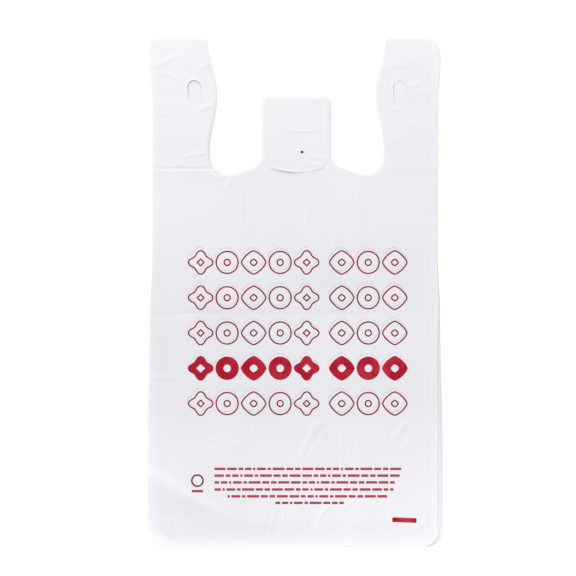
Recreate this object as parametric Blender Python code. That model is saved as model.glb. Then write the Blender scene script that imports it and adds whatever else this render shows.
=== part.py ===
"""A t-shirt carrier bag of thin white film, in metres with +Z up.

It lies flat with its handles towards +Y and its printed face up. A tube of film is folded flat
with a gusset tucked in at each side. Its layers are welded together along the base and across
the handle tops, and a die cuts the mouth, the handles, the tab and the slits through them all."""

import math

import bmesh
import bpy

# The flattened bag
LENGTH = 0.533
WIDTH = 0.3095
GUSSET_DEPTH = 0.0825
# How far slack in the film draws each side in, and the heights above the base edge where it does
MIDDLE_TUCK = 0.0025
CHEST_TUCK = 0.00525
TOP_TUCK = 0.00225
HIP_HEIGHT = 0.095
CHEST_HEIGHT = 0.306
SHOULDER_HEIGHT = 0.465
WRIST_HEIGHT = 0.508

# The film and how loosely its layers lie on each other
FILM = 0.00015
LAYER_GAP = 0.0003
SETTLE_RUN = 0.026

# Welds
BASE_SEAL = 0.0126
TOP_SEAL = 0.0075
SEAL_GAP = 0.00005
SEAL_SKIN = 0.00006
SEAL_LAP = 0.004
PRESSED_RUN = 0.003
SEAL_RUN = 0.016
PIN_WELD_RADIUS = 0.0026

# Rounded corners of the outline: how far each reaches along the side and along the end
BASE_LEFT_CORNER = (0.029, 0.019)
BASE_RIGHT_CORNER = (0.017, 0.017)
TOP_LEFT_CORNER = (0.0075, 0.0075)
TOP_RIGHT_CORNER = (0.019, 0.0105)

# The die that cuts the mouth, which stands a little off the tube's middle
DIE_SHIFT = 0.0016
HANDLE_GAP_TOP = 0.0934
HANDLE_GAP_BULGE = 0.0834
HANDLE_GAP_ROOT = 0.0913
BULGE_DEPTH = 0.0593
ROOT_DEPTH = 0.117
MOUTH_DEPTH = 0.1423
MOUTH_RISE = 0.0105
MOUTH_LOW = 0.0677
HANDLE_TOP_FILLET = 0.0038
ROOT_FILLET = 0.0195
LOW_FILLET = 0.020
TAB_FILLET = 0.014
TAB_WIDTH = 0.0724
TAB_DEPTH = 0.0614
TAB_CORNER = 0.0075
DIE_STEP = 0.0085

# Slits and the pin hole
SLIT = 0.0006
HANG_SLIT_INSET = 0.0244
HANG_SLIT_WIDTH = 0.0135
HANG_SLIT_HEIGHT = 0.0242
HANG_SLIT_DEPTH = 0.0435
TAB_SLIT_LENGTH = 0.040
TAB_SLIT_DEPTH = 0.098
TAB_SLIT_SHIFT = 0.0026
TEAR_SLIT_LENGTH = 0.058
TEAR_SLIT_DEPTH = 0.1405
TEAR_SLIT_SAG = 0.0052
PIN_HOLE_RADIUS = 0.0013
PIN_DEPTH = 0.119
PIN_SHIFT = 0.0058

# Packing creases across the bag, as height above the base edge, and their relief
LOW_CREASE = 0.178
MIDDLE_CREASE = 0.2445
ROOT_CREASE = 0.3965
CREASE_RUN = 0.0045
LOW_CREASE_RELIEF = 0.0004
MIDDLE_CREASE_RELIEF = 0.0008
ROOT_CREASE_RELIEF = 0.0010

# A soft fold that sags from the left side towards the base
FOLD_HEIGHT = 0.088
FOLD_END_HEIGHT = 0.035
FOLD_LENGTH = 0.085
FOLD_SAG = 0.006
FOLD_WIDTH = 0.0135
FOLD_RELIEF = 0.0022

# Gathers along the base weld and slack across the front
GATHER_PITCH = 0.036
GATHER_RUN = 0.055
GATHER_HALF_WIDTH = 0.065
GATHER_RELIEF = 0.0008
SLACK_RELIEF = 0.0009
SLACK_LENGTH = 0.190
SLACK_WIDTH = 0.135
SLACK_MARGIN = 0.045

# Mesh spacing
FRONT_CELLS = 34
BACK_CELLS = 8
LEAF_CELLS = 4
STATION_STEP = 0.016
FINE_STATION_STEP = 0.0085
ARC_STEPS = 8

BASE = -LENGTH / 2
TOP = LENGTH / 2
PITCH = FILM + LAYER_GAP
SEAL_PITCH = FILM + SEAL_GAP
SEAL_THICKNESS = 3 * SEAL_PITCH + FILM + 2 * SEAL_SKIN
# A fold bends at right angles, so its wall reaches this far past the film's middle line
FOLD_INSET = FILM / math.sqrt(2)
BACK, LOWER_LEAF, UPPER_LEAF, FRONT = range(4)


def ease(start, end, value):
    """0 before start, 1 after end, and a smooth rise between them."""
    share = min(max((value - start) / (end - start), 0.0), 1.0)
    return share * share * (3 - 2 * share)


def mix(a, b, share):
    return a + (b - a) * share


def bump(distance, width):
    """A soft mound, 1 at distance 0."""
    return math.exp(-((distance / width) ** 2))


def ridge(distance, width):
    """A sharp ridge with straight flanks, 1 at distance 0."""
    return max(0.0, 1.0 - abs(distance) / width)


def corner_inset(rise, corner):
    """How far a rounded corner draws the side in, at this rise above the end."""
    tall, wide = corner
    if rise >= tall:
        return 0.0
    return wide * (1 - math.sqrt(max(1 - (1 - rise / tall) ** 2, 0.0)))


def side(y, sign):
    """The x of the outer fold on the left (-1) or the right (1)."""
    height = y - BASE
    inset = mix(0.0, MIDDLE_TUCK, ease(HIP_HEIGHT, MIDDLE_CREASE, height))
    inset = mix(inset, CHEST_TUCK, ease(MIDDLE_CREASE, CHEST_HEIGHT, height))
    inset = mix(inset, TOP_TUCK, ease(SHOULDER_HEIGHT, WRIST_HEIGHT, height))
    base_corner = BASE_LEFT_CORNER if sign < 0 else BASE_RIGHT_CORNER
    top_corner = TOP_LEFT_CORNER if sign < 0 else TOP_RIGHT_CORNER
    inset += corner_inset(height, base_corner) + corner_inset(TOP - y, top_corner)
    return sign * (WIDTH / 2 - inset)


def looseness(y):
    """0 at the welds, where the layers are pressed together, and 1 in the bag between them."""
    low, high = BASE + BASE_SEAL + PRESSED_RUN, TOP - TOP_SEAL - PRESSED_RUN
    return ease(low, low + SEAL_RUN, y) * (1 - ease(high - SEAL_RUN, high, y))


def fold_relief(x, height):
    """The soft fold, which starts at the left side and dies out towards the base."""
    share = (x - side(BASE + FOLD_HEIGHT, -1)) / FOLD_LENGTH
    line = mix(FOLD_HEIGHT, FOLD_END_HEIGHT, share) - FOLD_SAG * 4 * share * (1 - share)
    slope = math.hypot(FOLD_LENGTH, FOLD_HEIGHT - FOLD_END_HEIGHT) / FOLD_LENGTH
    return FOLD_RELIEF * bump((height - line) / slope, FOLD_WIDTH) * (1 - ease(0.75, 1.2, share))


def slack_relief(x, y):
    """Two long waves that cross, as in film that has lain folded, and die out at the sides."""
    waves = math.sin(math.tau * (y / SLACK_LENGTH + x / SLACK_WIDTH))
    waves += math.sin(math.tau * (y / SLACK_LENGTH - x / (2 * SLACK_WIDTH)) + 1)
    margin = min(x - side(y, -1), side(y, 1) - x)
    return SLACK_RELIEF * (2 + waves) / 4 * ease(0, SLACK_MARGIN, margin)


def relief(x, y):
    """How far creases, folds, gathers and slack lift the front film."""
    height = y - BASE
    left = ease(WIDTH / 2, -WIDTH / 2, x)
    lift = max(
        ROOT_CREASE_RELIEF * mix(0.35, 1.0, left) * ridge(height - ROOT_CREASE, CREASE_RUN),
        MIDDLE_CREASE_RELIEF * mix(0.45, 1.0, left) * ridge(height - MIDDLE_CREASE, CREASE_RUN),
        LOW_CREASE_RELIEF * left * ridge(height - LOW_CREASE, CREASE_RUN),
        fold_relief(x, height),
    )
    gather = GATHER_RELIEF * (1 + math.cos(math.tau * x / GATHER_PITCH)) / 2
    gather *= bump(x, GATHER_HALF_WIDTH) * (1 - ease(0, GATHER_RUN, height - BASE_SEAL))
    return (lift + gather + slack_relief(x, y)) * looseness(y)


def pitch(y):
    """The spacing of the layers, from middle to middle of the film."""
    return mix(SEAL_PITCH, PITCH, looseness(y))


def layer_height(layer, x, y):
    """The middle of one layer of film."""
    height = mix(SEAL_SKIN, 0.0, looseness(y)) + FILM / 2 + layer * pitch(y)
    if layer == FRONT:
        inner = min(x - side(y, -1), side(y, 1) - x) - GUSSET_DEPTH
        height -= (FRONT - 1) * pitch(y) * ease(0, SETTLE_RUN, inner)
        height += relief(x, y)
    return height


def run(start, end, cells):
    return [mix(start, end, i / cells) for i in range(cells + 1)]


def section(y):
    """The film's middle line at one station, all the way round the flattened tube."""
    bend = pitch(y) / 2
    left, right = side(y, -1) + FOLD_INSET, side(y, 1) - FOLD_INSET
    points = []

    def lay(layer, start, end, cells):
        points.extend((x, y, layer_height(layer, x, y)) for x in run(start, end, cells))

    def fold(x, first, second):
        points.append((x, y, (layer_height(first, x, y) + layer_height(second, x, y)) / 2))

    def gusset(x, inward, layers):
        outer, inner = x + inward * bend, x + inward * (GUSSET_DEPTH - bend)
        fold(x, *layers[:2])
        lay(layers[1], outer, inner, LEAF_CELLS)
        fold(x + inward * GUSSET_DEPTH, *layers[1:3])
        lay(layers[2], inner, outer, LEAF_CELLS)
        fold(x, *layers[2:])

    lay(FRONT, left + bend, right - bend, FRONT_CELLS)
    gusset(right, -1, (FRONT, UPPER_LEAF, LOWER_LEAF, BACK))
    lay(BACK, right - bend, left + bend, BACK_CELLS)
    gusset(left, 1, (BACK, LOWER_LEAF, UPPER_LEAF, FRONT))
    return points


def stations():
    """The tube's stations from weld to weld, one on each bend and closer near the corners."""
    start, end = BASE + BASE_SEAL - SEAL_LAP, TOP - TOP_SEAL + SEAL_LAP
    low, high = BASE + BASE_SEAL + PRESSED_RUN, TOP - TOP_SEAL - PRESSED_RUN
    fold_top = BASE + FOLD_HEIGHT + FOLD_WIDTH
    marks = [low, low + SEAL_RUN, fold_top, high - SEAL_RUN, high]
    for crease in (LOW_CREASE, MIDDLE_CREASE, ROOT_CREASE):
        marks += [BASE + crease - CREASE_RUN, BASE + crease, BASE + crease + CREASE_RUN]
    found = [start]
    for mark in sorted(marks) + [end]:
        fine = low < mark <= fold_top or mark >= high
        step = FINE_STATION_STEP if fine else STATION_STEP
        if mark - found[-1] > PITCH:
            found += run(found[-1], mark, math.ceil((mark - found[-1]) / step))[1:]
    return found


def mesh_object(name, points, faces):
    mesh = bpy.data.meshes.new(name)
    mesh.from_pydata(points, [], faces)
    mesh.validate()
    obj = bpy.data.objects.new(name, mesh)
    bpy.context.scene.collection.objects.link(obj)
    return obj


def film_tube():
    """The gusseted tube as a sheet, whose two ends are still open."""
    rings = [section(y) for y in stations()]
    points = [point for ring in rings for point in ring]
    count = len(rings[0])
    faces = []
    for j in range(len(rings) - 1):
        for i in range(count):
            a, b = j * count + i, j * count + (i + 1) % count
            c, d = b + count, a + count
            # Each cell is split along the diagonal that follows a ridge best
            if abs(points[a][2] - points[c][2]) <= abs(points[b][2] - points[d][2]):
                faces += [(a, b, c), (a, c, d)]
            else:
                faces += [(a, b, d), (b, c, d)]
    return mesh_object("bag", points, faces)


def prism(bm, outline, low, high):
    """Adds the closed solid of an outline, given anticlockwise, between two heights."""
    floor = [bm.verts.new((x, y, low)) for x, y in outline]
    roof = [bm.verts.new((x, y, high)) for x, y in outline]
    bm.faces.new(floor[::-1])
    bm.faces.new(roof)
    for i in range(len(outline)):
        j = (i + 1) % len(outline)
        bm.faces.new((floor[i], floor[j], roof[j], roof[i]))


def tool_object(name, bm):
    """A solid that only joins or cuts, and isn't part of the bag by itself."""
    bmesh.ops.triangulate(bm, faces=bm.faces)
    mesh = bpy.data.meshes.new(name)
    bm.to_mesh(mesh)
    bm.free()
    obj = bpy.data.objects.new(name, mesh)
    bpy.context.scene.collection.objects.link(obj)
    obj.hide_render = True
    obj.display_type = "WIRE"
    return obj


def seal_outline(edge, inner):
    """The weld's outline, from its inner line to the bag's end at this edge."""
    right, left = [], []
    for i in range(ARC_STEPS + 1):
        y = mix(edge, inner, 1 - math.sin(math.pi / 2 * i / ARC_STEPS))
        right.append((side(y, 1) + SEAL_SKIN, y))
        left.append((side(y, -1) - SEAL_SKIN, y))
    outline = right + left[::-1]
    return outline if edge > inner else outline[::-1]


def circle(x, y, radius, count=2 * ARC_STEPS):
    turns = (math.tau * i / count for i in range(count))
    return [(x + radius * math.cos(a), y + radius * math.sin(a)) for a in turns]


def welds():
    """The base weld, the weld across both handle tops and the hot pin's weld in the tab."""
    bm = bmesh.new()
    for edge, inner in ((BASE, BASE + BASE_SEAL), (TOP, TOP - TOP_SEAL)):
        prism(bm, seal_outline(edge, inner), 0.0, SEAL_THICKNESS)
    x, y = DIE_SHIFT + PIN_SHIFT, TOP - PIN_DEPTH
    prism(bm, circle(x, y, PIN_WELD_RADIUS), FILM / 2, layer_height(FRONT, x, y))
    return tool_object("weld_tool", bm)


def fillet(before, corner, after, scale):
    """The arc that rounds one corner, its radius cut to this scale where there is little room."""
    x, y, radius = corner
    to_before = math.atan2(before[1] - y, before[0] - x)
    to_after = math.atan2(after[1] - y, after[0] - x)
    turn = (to_after - to_before + math.pi) % math.tau - math.pi
    radius *= scale
    far = radius / math.sin(abs(turn) / 2)
    centre_x = x + far * math.cos(to_before + turn / 2)
    centre_y = y + far * math.sin(to_before + turn / 2)
    start = to_before - math.copysign(math.pi / 2, turn)
    sweep = math.copysign(math.pi, turn) - turn
    steps = max(2, round(ARC_STEPS * abs(sweep) / (math.pi / 2)))
    angles = [start - sweep * i / steps for i in range(steps + 1)]
    return [(centre_x + radius * math.cos(a), centre_y + radius * math.sin(a)) for a in angles]


def fillet_reach(before, corner, after):
    """How far from its corner a full arc would start."""
    to_before = math.atan2(before[1] - corner[1], before[0] - corner[0])
    to_after = math.atan2(after[1] - corner[1], after[0] - corner[0])
    turn = (to_after - to_before + math.pi) % math.tau - math.pi
    return corner[2] / math.tan(abs(turn) / 2)


def rounded(corners):
    """A line through corners (x, y, radius), with an arc in place of each inner one."""
    triples = list(zip(corners, corners[1:], corners[2:]))
    reaches = [0.0] + [fillet_reach(*triple) for triple in triples] + [0.0]
    sides = [math.dist(a[:2], b[:2]) for a, b in zip(corners, corners[1:])]
    points = [corners[0][:2]]
    for i, triple in enumerate(triples):
        before = sides[i] / (reaches[i] + reaches[i + 1])
        after = sides[i + 1] / (reaches[i + 1] + reaches[i + 2])
        points += fillet(*triple, min(1.0, 0.98 * before, 0.98 * after))
    points.append(corners[-1][:2])
    return points


def handle_gap(depth):
    """Half the gap between the handles, at this depth below their tops."""
    if depth < BULGE_DEPTH:
        return mix(HANDLE_GAP_TOP, HANDLE_GAP_BULGE, ease(0, BULGE_DEPTH, depth))
    return mix(HANDLE_GAP_BULGE, HANDLE_GAP_ROOT, ease(BULGE_DEPTH, ROOT_DEPTH, depth))


def mouth_outline():
    """The right half of the mouth from the handle's top to the tab, and its mirror image."""
    top_x = HANDLE_GAP_TOP + HANDLE_TOP_FILLET
    above = (top_x, TOP + HANDLE_TOP_FILLET)
    shoulder = []
    for i in range(ARC_STEPS // 2 + 1):
        angle = math.pi / 2 * (1 + i / (ARC_STEPS // 2))
        x = top_x + HANDLE_TOP_FILLET * math.cos(angle)
        y = TOP - HANDLE_TOP_FILLET * (1 - math.sin(angle))
        shoulder.append((x, y))
    steps = math.ceil((ROOT_DEPTH - HANDLE_TOP_FILLET) / DIE_STEP)
    depths = run(HANDLE_TOP_FILLET, ROOT_DEPTH, steps)[1:]
    handle = [(handle_gap(depth), TOP - depth) for depth in depths]
    mouth = rounded(
        [
            (HANDLE_GAP_ROOT, TOP - ROOT_DEPTH, 0),
            (HANDLE_GAP_ROOT, TOP - MOUTH_DEPTH, ROOT_FILLET),
            (MOUTH_LOW, TOP - MOUTH_DEPTH, LOW_FILLET),
            (TAB_WIDTH / 2, TOP - MOUTH_DEPTH + MOUTH_RISE, TAB_FILLET),
            (TAB_WIDTH / 2, TOP - TAB_DEPTH, TAB_CORNER),
            (0, TOP - TAB_DEPTH, 0),
        ]
    )
    half = [above, *shoulder, *handle, *mouth[1:-1]]
    whole = half + [(-x, y) for x, y in reversed(half)]
    return [(x + DIE_SHIFT, y) for x, y in reversed(whole)]


def ribbon(path, width):
    """The outline of a slit of this width along a path."""
    sides = ([], [])
    for i, (x, y) in enumerate(path):
        before, after = path[max(i - 1, 0)], path[min(i + 1, len(path) - 1)]
        along = math.atan2(after[1] - before[1], after[0] - before[0])
        for points, way in zip(sides, (-1, 1)):
            reach = way * width / 2
            points.append((x - reach * math.sin(along), y + reach * math.cos(along)))
    return sides[0] + sides[1][::-1]


def hang_slit(x):
    """A slit shaped as an upturned U, which frees a small tongue."""
    top, radius = TOP - HANG_SLIT_DEPTH, HANG_SLIT_WIDTH / 2
    path = [(x + radius, top - HANG_SLIT_HEIGHT)]
    for i in range(ARC_STEPS + 1):
        angle = math.pi * i / ARC_STEPS
        path.append((x + radius * math.cos(angle), top - radius * (1 - math.sin(angle))))
    path.append((x - radius, top - HANG_SLIT_HEIGHT))
    return ribbon(path, SLIT)


def tear_slit():
    """The sagging slit under the tab, along which the tab tears off."""
    lowest = TOP - TEAR_SLIT_DEPTH
    shares = run(-1.0, 1.0, ARC_STEPS)
    path = [(DIE_SHIFT + TEAR_SLIT_LENGTH / 2 * i, lowest + TEAR_SLIT_SAG * i**2) for i in shares]
    return ribbon(path, SLIT)


def die():
    """Every outline that is cut through all the layers."""
    bm = bmesh.new()
    slit_x, slit_y = DIE_SHIFT + TAB_SLIT_SHIFT, TOP - TAB_SLIT_DEPTH
    slit_ends = [(slit_x + way * TAB_SLIT_LENGTH / 2, slit_y) for way in (-1, 1)]
    outlines = [
        mouth_outline(),
        hang_slit(DIE_SHIFT - HANDLE_GAP_BULGE - HANG_SLIT_INSET),
        hang_slit(DIE_SHIFT + HANDLE_GAP_BULGE + HANG_SLIT_INSET),
        ribbon(slit_ends, SLIT),
        tear_slit(),
        circle(DIE_SHIFT + PIN_SHIFT, TOP - PIN_DEPTH, PIN_HOLE_RADIUS),
    ]
    reach = 4 * PITCH + 2 * (FOLD_RELIEF + SLACK_RELIEF + GATHER_RELIEF)
    for outline in outlines:
        prism(bm, outline, -reach, reach)
    return tool_object("die_tool", bm)


def white_film():
    material = bpy.data.materials.new("white_film")
    material.use_nodes = True
    shader = material.node_tree.nodes["Principled BSDF"]
    shader.inputs["Base Color"].default_value = (0.84, 0.83, 0.87, 1.0)
    shader.inputs["Roughness"].default_value = 0.38
    shader.inputs["Metallic"].default_value = 0.0
    return material


def main():
    for obj in list(bpy.data.objects):
        bpy.data.objects.remove(obj)
    bag = film_tube()
    bag.data.materials.append(white_film())
    wall = bag.modifiers.new("film_wall", "SOLIDIFY")
    wall.thickness = FILM
    wall.offset = 0.0
    wall.use_even_offset = True
    join = bag.modifiers.new("welds", "BOOLEAN")
    join.operation = "UNION"
    join.object = welds()
    cut = bag.modifiers.new("die_cut", "BOOLEAN")
    cut.operation = "DIFFERENCE"
    cut.object = die()


main()
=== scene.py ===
"""Looks of the t-shirt bag: its film with every crease, its print, and the floor, light and camera.

Everything is in metres in the part's own frame, with the handles towards +Y and the print up."""

import math

import bpy
import numpy as np
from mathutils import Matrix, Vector
from mathutils.geometry import delaunay_2d_cdt
from mathutils.kdtree import KDTree


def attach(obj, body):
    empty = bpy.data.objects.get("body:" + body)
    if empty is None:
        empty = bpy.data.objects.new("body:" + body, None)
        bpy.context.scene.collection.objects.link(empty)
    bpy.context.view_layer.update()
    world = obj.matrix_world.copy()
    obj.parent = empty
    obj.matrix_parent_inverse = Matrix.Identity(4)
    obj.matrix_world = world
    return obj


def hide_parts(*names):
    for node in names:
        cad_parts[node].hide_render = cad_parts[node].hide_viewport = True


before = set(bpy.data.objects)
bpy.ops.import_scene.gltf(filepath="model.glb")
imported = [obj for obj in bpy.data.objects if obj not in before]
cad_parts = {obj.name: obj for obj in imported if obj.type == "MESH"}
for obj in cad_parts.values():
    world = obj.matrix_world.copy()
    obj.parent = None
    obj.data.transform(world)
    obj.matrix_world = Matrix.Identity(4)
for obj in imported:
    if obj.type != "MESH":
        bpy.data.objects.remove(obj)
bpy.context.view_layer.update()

# The flattened bag, as in the part's source
LENGTH = 0.533
WIDTH = 0.3095
GUSSET_DEPTH = 0.0825
MIDDLE_TUCK = 0.0025
CHEST_TUCK = 0.00525
TOP_TUCK = 0.00225
HIP_HEIGHT = 0.095
MIDDLE_CREASE = 0.2445
CHEST_HEIGHT = 0.306
SHOULDER_HEIGHT = 0.465
WRIST_HEIGHT = 0.508
# Its rounded corners: how far each reaches along the side and along the end
BASE_LEFT_CORNER = (0.029, 0.019)
BASE_RIGHT_CORNER = (0.017, 0.017)
TOP_LEFT_CORNER = (0.0075, 0.0075)
TOP_RIGHT_CORNER = (0.019, 0.0105)

# The film, whose layers lie closer here than in the part's solid, and the welds that join them
FILM = 0.00008
LAYER_GAP = 0.00012
SEAL_GAP = 0.00003
SETTLE_RUN = 0.026
BASE_SEAL = 0.0126
TOP_SEAL = 0.0075
SEAL_RUN = 0.016
SEAL_WRINKLE_SHARE = 0.35
DIE_PRESS = 0.5
DIE_PRESS_RUN = 0.0013
# The least height of the front panel over the layer below it, from middle to middle
LEAST_RISE = 1.1 * FILM
# How far the front's outer folds lie inside the back's: height above the base edge, and distance
LEFT_TUCK = ((0.0, 0.0004), (0.290, 0.0004), (0.330, 0.0014), (0.380, 0.0012), (0.420, 0.0002))
RIGHT_TUCK = (
    (0.0, 0.0040),
    (0.030, 0.0050),
    (0.100, 0.0050),
    (0.203, 0.0032),
    (0.256, 0.0012),
    (0.300, 0.0002),
)

# The die cut
DIE_SHIFT = 0.0016
HANDLE_GAP_TOP = 0.0934
HANDLE_GAP_BULGE = 0.0834
HANDLE_GAP_ROOT = 0.0913
BULGE_DEPTH = 0.0593
ROOT_DEPTH = 0.117
MOUTH_DEPTH = 0.1423
MOUTH_RISE = 0.0105
MOUTH_LOW = 0.0677
HANDLE_TOP_FILLET = 0.0038
ROOT_FILLET = 0.0195
LOW_FILLET = 0.020
TAB_FILLET = 0.014
TAB_WIDTH = 0.0724
TAB_DEPTH = 0.0614
TAB_CORNER = 0.0075
# The most of a side that its two fillets may take up
FILLET_SHARE = 0.98

# Slits and the pin hole
HANG_SLIT_INSET = 0.0244
HANG_SLIT_WIDTH = 0.0135
HANG_SLIT_HEIGHT = 0.0242
HANG_SLIT_DEPTH = 0.0440
HANG_SLIT_TAPER = 0.0012
HANG_SLIT_SHIFT = 0.0005
TAB_SLIT_LENGTH = 0.040
TAB_SLIT_DEPTH = 0.098
TAB_SLIT_SHIFT = 0.0026
TEAR_SLIT_LENGTH = 0.058
TEAR_SLIT_DEPTH = 0.1405
TEAR_SLIT_SAG = 0.0052
PIN_HOLE_RADIUS = 0.0003
PIN_DEPTH = 0.119
PIN_SHIFT = 0.0058
# A dark disc painted round the pin hole as its shade
PIN_SHADE_RADIUS = 0.0015
PUCKER_RAYS = 9
PUCKER_REACH = 0.0028
PUCKER_WIDTH = 0.0020
PUCKER_RELIEF = 0.00040
# How far each slit gapes in the front panel, in tenths of a millimetre, at places spread evenly
# along it from its left end, and in the layers below it
GAPE_UNIT = 0.0001
LEFT_HANG_GAPE = (0.5, 0.8, 3.6, 4, 6.2, 6.2, 7.2, 7, 1.1, 0.7, 0.6, 0.5, 0.3)
RIGHT_HANG_GAPE = (1, 1.4, 2.4, 3.2, 3.4, 1.5, 1.4, 1.4, 1.4, 0.7, 0.4, 0.3, 0.3)
TAB_GAPE = (0.3, 0.7, 0.7, 0.7, 0.7, 1, 1.5, 1.9, 2.3, 2.2, 2.2, 0.3, 1.6, 0.8)
TEAR_GAPE = (1, 2.8, 6, 9, 10.5, 6.5, 5.8, 3.2, 2, 1.8, 3.8, 3.7, 2)
CLOSED_GAPE = (0.3,)
# How far the film beside a slit stands up, as a share of the gape there, and how far that reaches
LIP_RISE = 0.75
LIP_REACH = 0.0012

# The soft fold, the gathers at the base and the slack across the front
FOLD_HEIGHT = 0.0758
FOLD_END_HEIGHT = 0.0318
FOLD_LENGTH = 0.085
FOLD_UPPER_WIDTHS = (0.0072, 0.0034)
FOLD_LOWER_WIDTHS = (0.023, 0.0058)
FOLD_RELIEF = 0.0037
FOLD_FADE = (0.35, 1.15)
GATHER_PITCH = 0.036
GATHER_RUN = 0.055
GATHER_HALF_WIDTH = 0.065
GATHER_RELIEF = 0.0008
SLACK_RELIEF = 0.0009
SLACK_LENGTH = 0.190
SLACK_WIDTH = 0.135
SLACK_MARGIN = 0.045
SLACK_PHASE = 1.0

# How wrinkles rise and die out, as shares of their length
WRINKLE_RISE = (-0.15, 0.25)
WRINKLE_FADE = (0.75, 1.15)
# Creases and wrinkles: start x and y, end x and y, sideways bow, half width, lift
WRINKLES = (
    (-0.153, 0.1300, -0.078, 0.1298, 0.0, 0.0045, 0.00030),
    (-0.155, 0.1302, -0.074, 0.1298, 0.0, 0.0011, -0.00065),
    (0.090, 0.1300, 0.148, 0.1305, 0.0, 0.0030, 0.00025),
    (-0.156, -0.0220, 0.158, -0.0230, 0.0, 0.0040, -0.00045),
    (-0.156, -0.0220, -0.090, -0.0225, 0.0, 0.0012, -0.00025),
    (-0.156, -0.0285, -0.130, -0.0290, 0.0, 0.0014, 0.00020),
    (-0.154, -0.0890, -0.112, -0.0895, 0.0, 0.0020, 0.00025),
    (-0.152, 0.2480, -0.140, 0.2540, 0.0, 0.0016, -0.00035),
    (-0.151, 0.2370, -0.122, 0.2510, -0.0020, 0.0026, 0.00045),
    (-0.148, 0.2290, -0.128, 0.2300, 0.0, 0.0014, 0.00020),
    (-0.133, 0.2290, -0.124, 0.2255, 0.0, 0.0014, 0.00025),
    (-0.103, 0.2320, -0.087, 0.2410, 0.0010, 0.0020, 0.00035),
    (-0.100, 0.1910, -0.085, 0.1970, 0.0010, 0.0019, 0.00040),
    (-0.146, 0.1990, -0.120, 0.2000, 0.0, 0.0022, 0.00020),
    (-0.144, 0.1870, -0.136, 0.1873, 0.0, 0.0014, 0.00025),
    (-0.120, 0.1395, -0.091, 0.1465, 0.0015, 0.0017, 0.00045),
    (-0.128, 0.1335, -0.104, 0.1385, 0.0010, 0.0017, 0.00025),
    (-0.092, 0.1240, -0.074, 0.1185, 0.0010, 0.0016, 0.00025),
    (-0.084, 0.1185, -0.072, 0.1225, 0.0, 0.0016, 0.00020),
    (0.092, 0.2340, 0.118, 0.2370, 0.0025, 0.0028, 0.00045),
    (0.115, 0.2140, 0.134, 0.2200, 0.0010, 0.0018, 0.00030),
    (0.118, 0.2100, 0.142, 0.2105, 0.0, 0.0018, 0.00020),
    (0.100, 0.1960, 0.111, 0.1890, 0.0, 0.0016, 0.00025),
    (0.100, 0.1890, 0.112, 0.1960, 0.0, 0.0016, 0.00020),
    (0.117, 0.1800, 0.129, 0.1735, 0.0, 0.0018, 0.00025),
    (0.100, 0.1590, 0.110, 0.1640, 0.0, 0.0016, 0.00020),
    (0.1456, 0.2630, 0.1506, 0.2505, -0.0008, 0.0013, 0.00130),
    (0.0300, 0.1322, 0.0350, 0.1350, 0.0, 0.0008, -0.00040),
    (0.013, 0.1420, 0.036, 0.1385, 0.0020, 0.0015, 0.00030),
    (0.010, 0.1370, 0.034, 0.1345, -0.0020, 0.0014, 0.00030),
    (-0.034, 0.1385, -0.008, 0.1400, 0.0010, 0.0016, 0.00018),
    (0.0131, 0.0850, 0.0131, 0.0720, 0.0, 0.0016, 0.00030),
    (0.0411, 0.0600, 0.0411, 0.0480, 0.0, 0.0016, 0.00030),
    (0.0800, 0.0822, 0.1500, 0.0822, 0.0, 0.0014, -0.00013),
    (0.066, 0.1070, 0.067, 0.0780, 0.0010, 0.0025, 0.00025),
    (-0.056, 0.1080, -0.056, 0.0720, 0.0, 0.0016, 0.00020),
    (-0.045, 0.0780, -0.045, 0.0600, 0.0, 0.0014, 0.00018),
    (-0.045, 0.1160, -0.046, 0.1060, 0.0, 0.0016, 0.00020),
    (-0.074, 0.1070, -0.066, 0.1160, 0.0010, 0.0018, 0.00025),
    (0.064, -0.1560, 0.069, -0.1770, 0.0, 0.0024, 0.00025),
    (-0.090, -0.1530, -0.055, -0.1690, 0.0015, 0.0030, 0.00030),
    (-0.058, -0.1370, -0.050, -0.1580, 0.0, 0.0026, 0.00030),
    (0.006, -0.1750, 0.029, -0.1330, 0.0020, 0.0030, 0.00050),
    (0.012, -0.1790, 0.034, -0.1450, 0.0020, 0.0025, 0.00030),
    (0.118, -0.1345, 0.103, -0.1525, 0.0010, 0.0020, 0.00035),
    (0.122, -0.1545, 0.112, -0.1670, 0.0, 0.0018, 0.00025),
    (0.050, -0.1450, 0.049, -0.1790, 0.0, 0.0012, 0.00018),
    (0.063, -0.1700, 0.063, -0.1790, 0.0, 0.0012, 0.00018),
    (-0.043, -0.1340, -0.043, -0.1470, 0.0, 0.0012, 0.00018),
    (-0.067, -0.1580, -0.067, -0.1740, 0.0, 0.0012, 0.00020),
    (-0.066, -0.1570, -0.051, -0.1630, 0.0010, 0.0016, 0.00035),
    (-0.091, -0.1610, -0.073, -0.1705, 0.0015, 0.0018, 0.00035),
    (-0.148, -0.1640, -0.136, -0.1600, 0.0, 0.0020, -0.00025),
    (-0.053, -0.2260, -0.055, -0.2560, 0.0, 0.0014, 0.00020),
    (-0.022, -0.2270, -0.028, -0.2570, 0.0010, 0.0018, 0.00040),
    (-0.010, -0.2260, -0.014, -0.2480, 0.0, 0.0014, 0.00020),
    (0.013, -0.2290, 0.010, -0.2540, 0.0, 0.0018, 0.00025),
    (0.040, -0.2220, 0.024, -0.2470, -0.0045, 0.0016, 0.00035),
    (0.056, -0.2220, 0.045, -0.2280, 0.0010, 0.0018, 0.00035),
    (0.062, -0.2480, 0.063, -0.2640, 0.0, 0.0016, 0.00020),
    (0.094, -0.2300, 0.090, -0.2420, 0.0, 0.0016, 0.00018),
    (-0.135, -0.2300, -0.124, -0.2470, 0.0010, 0.0022, -0.00045),
    (-0.150, -0.1850, -0.143, -0.1950, 0.0, 0.0018, 0.00025),
    (0.120, -0.2440, 0.136, -0.2470, 0.0, 0.0018, 0.00015),
)

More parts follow.
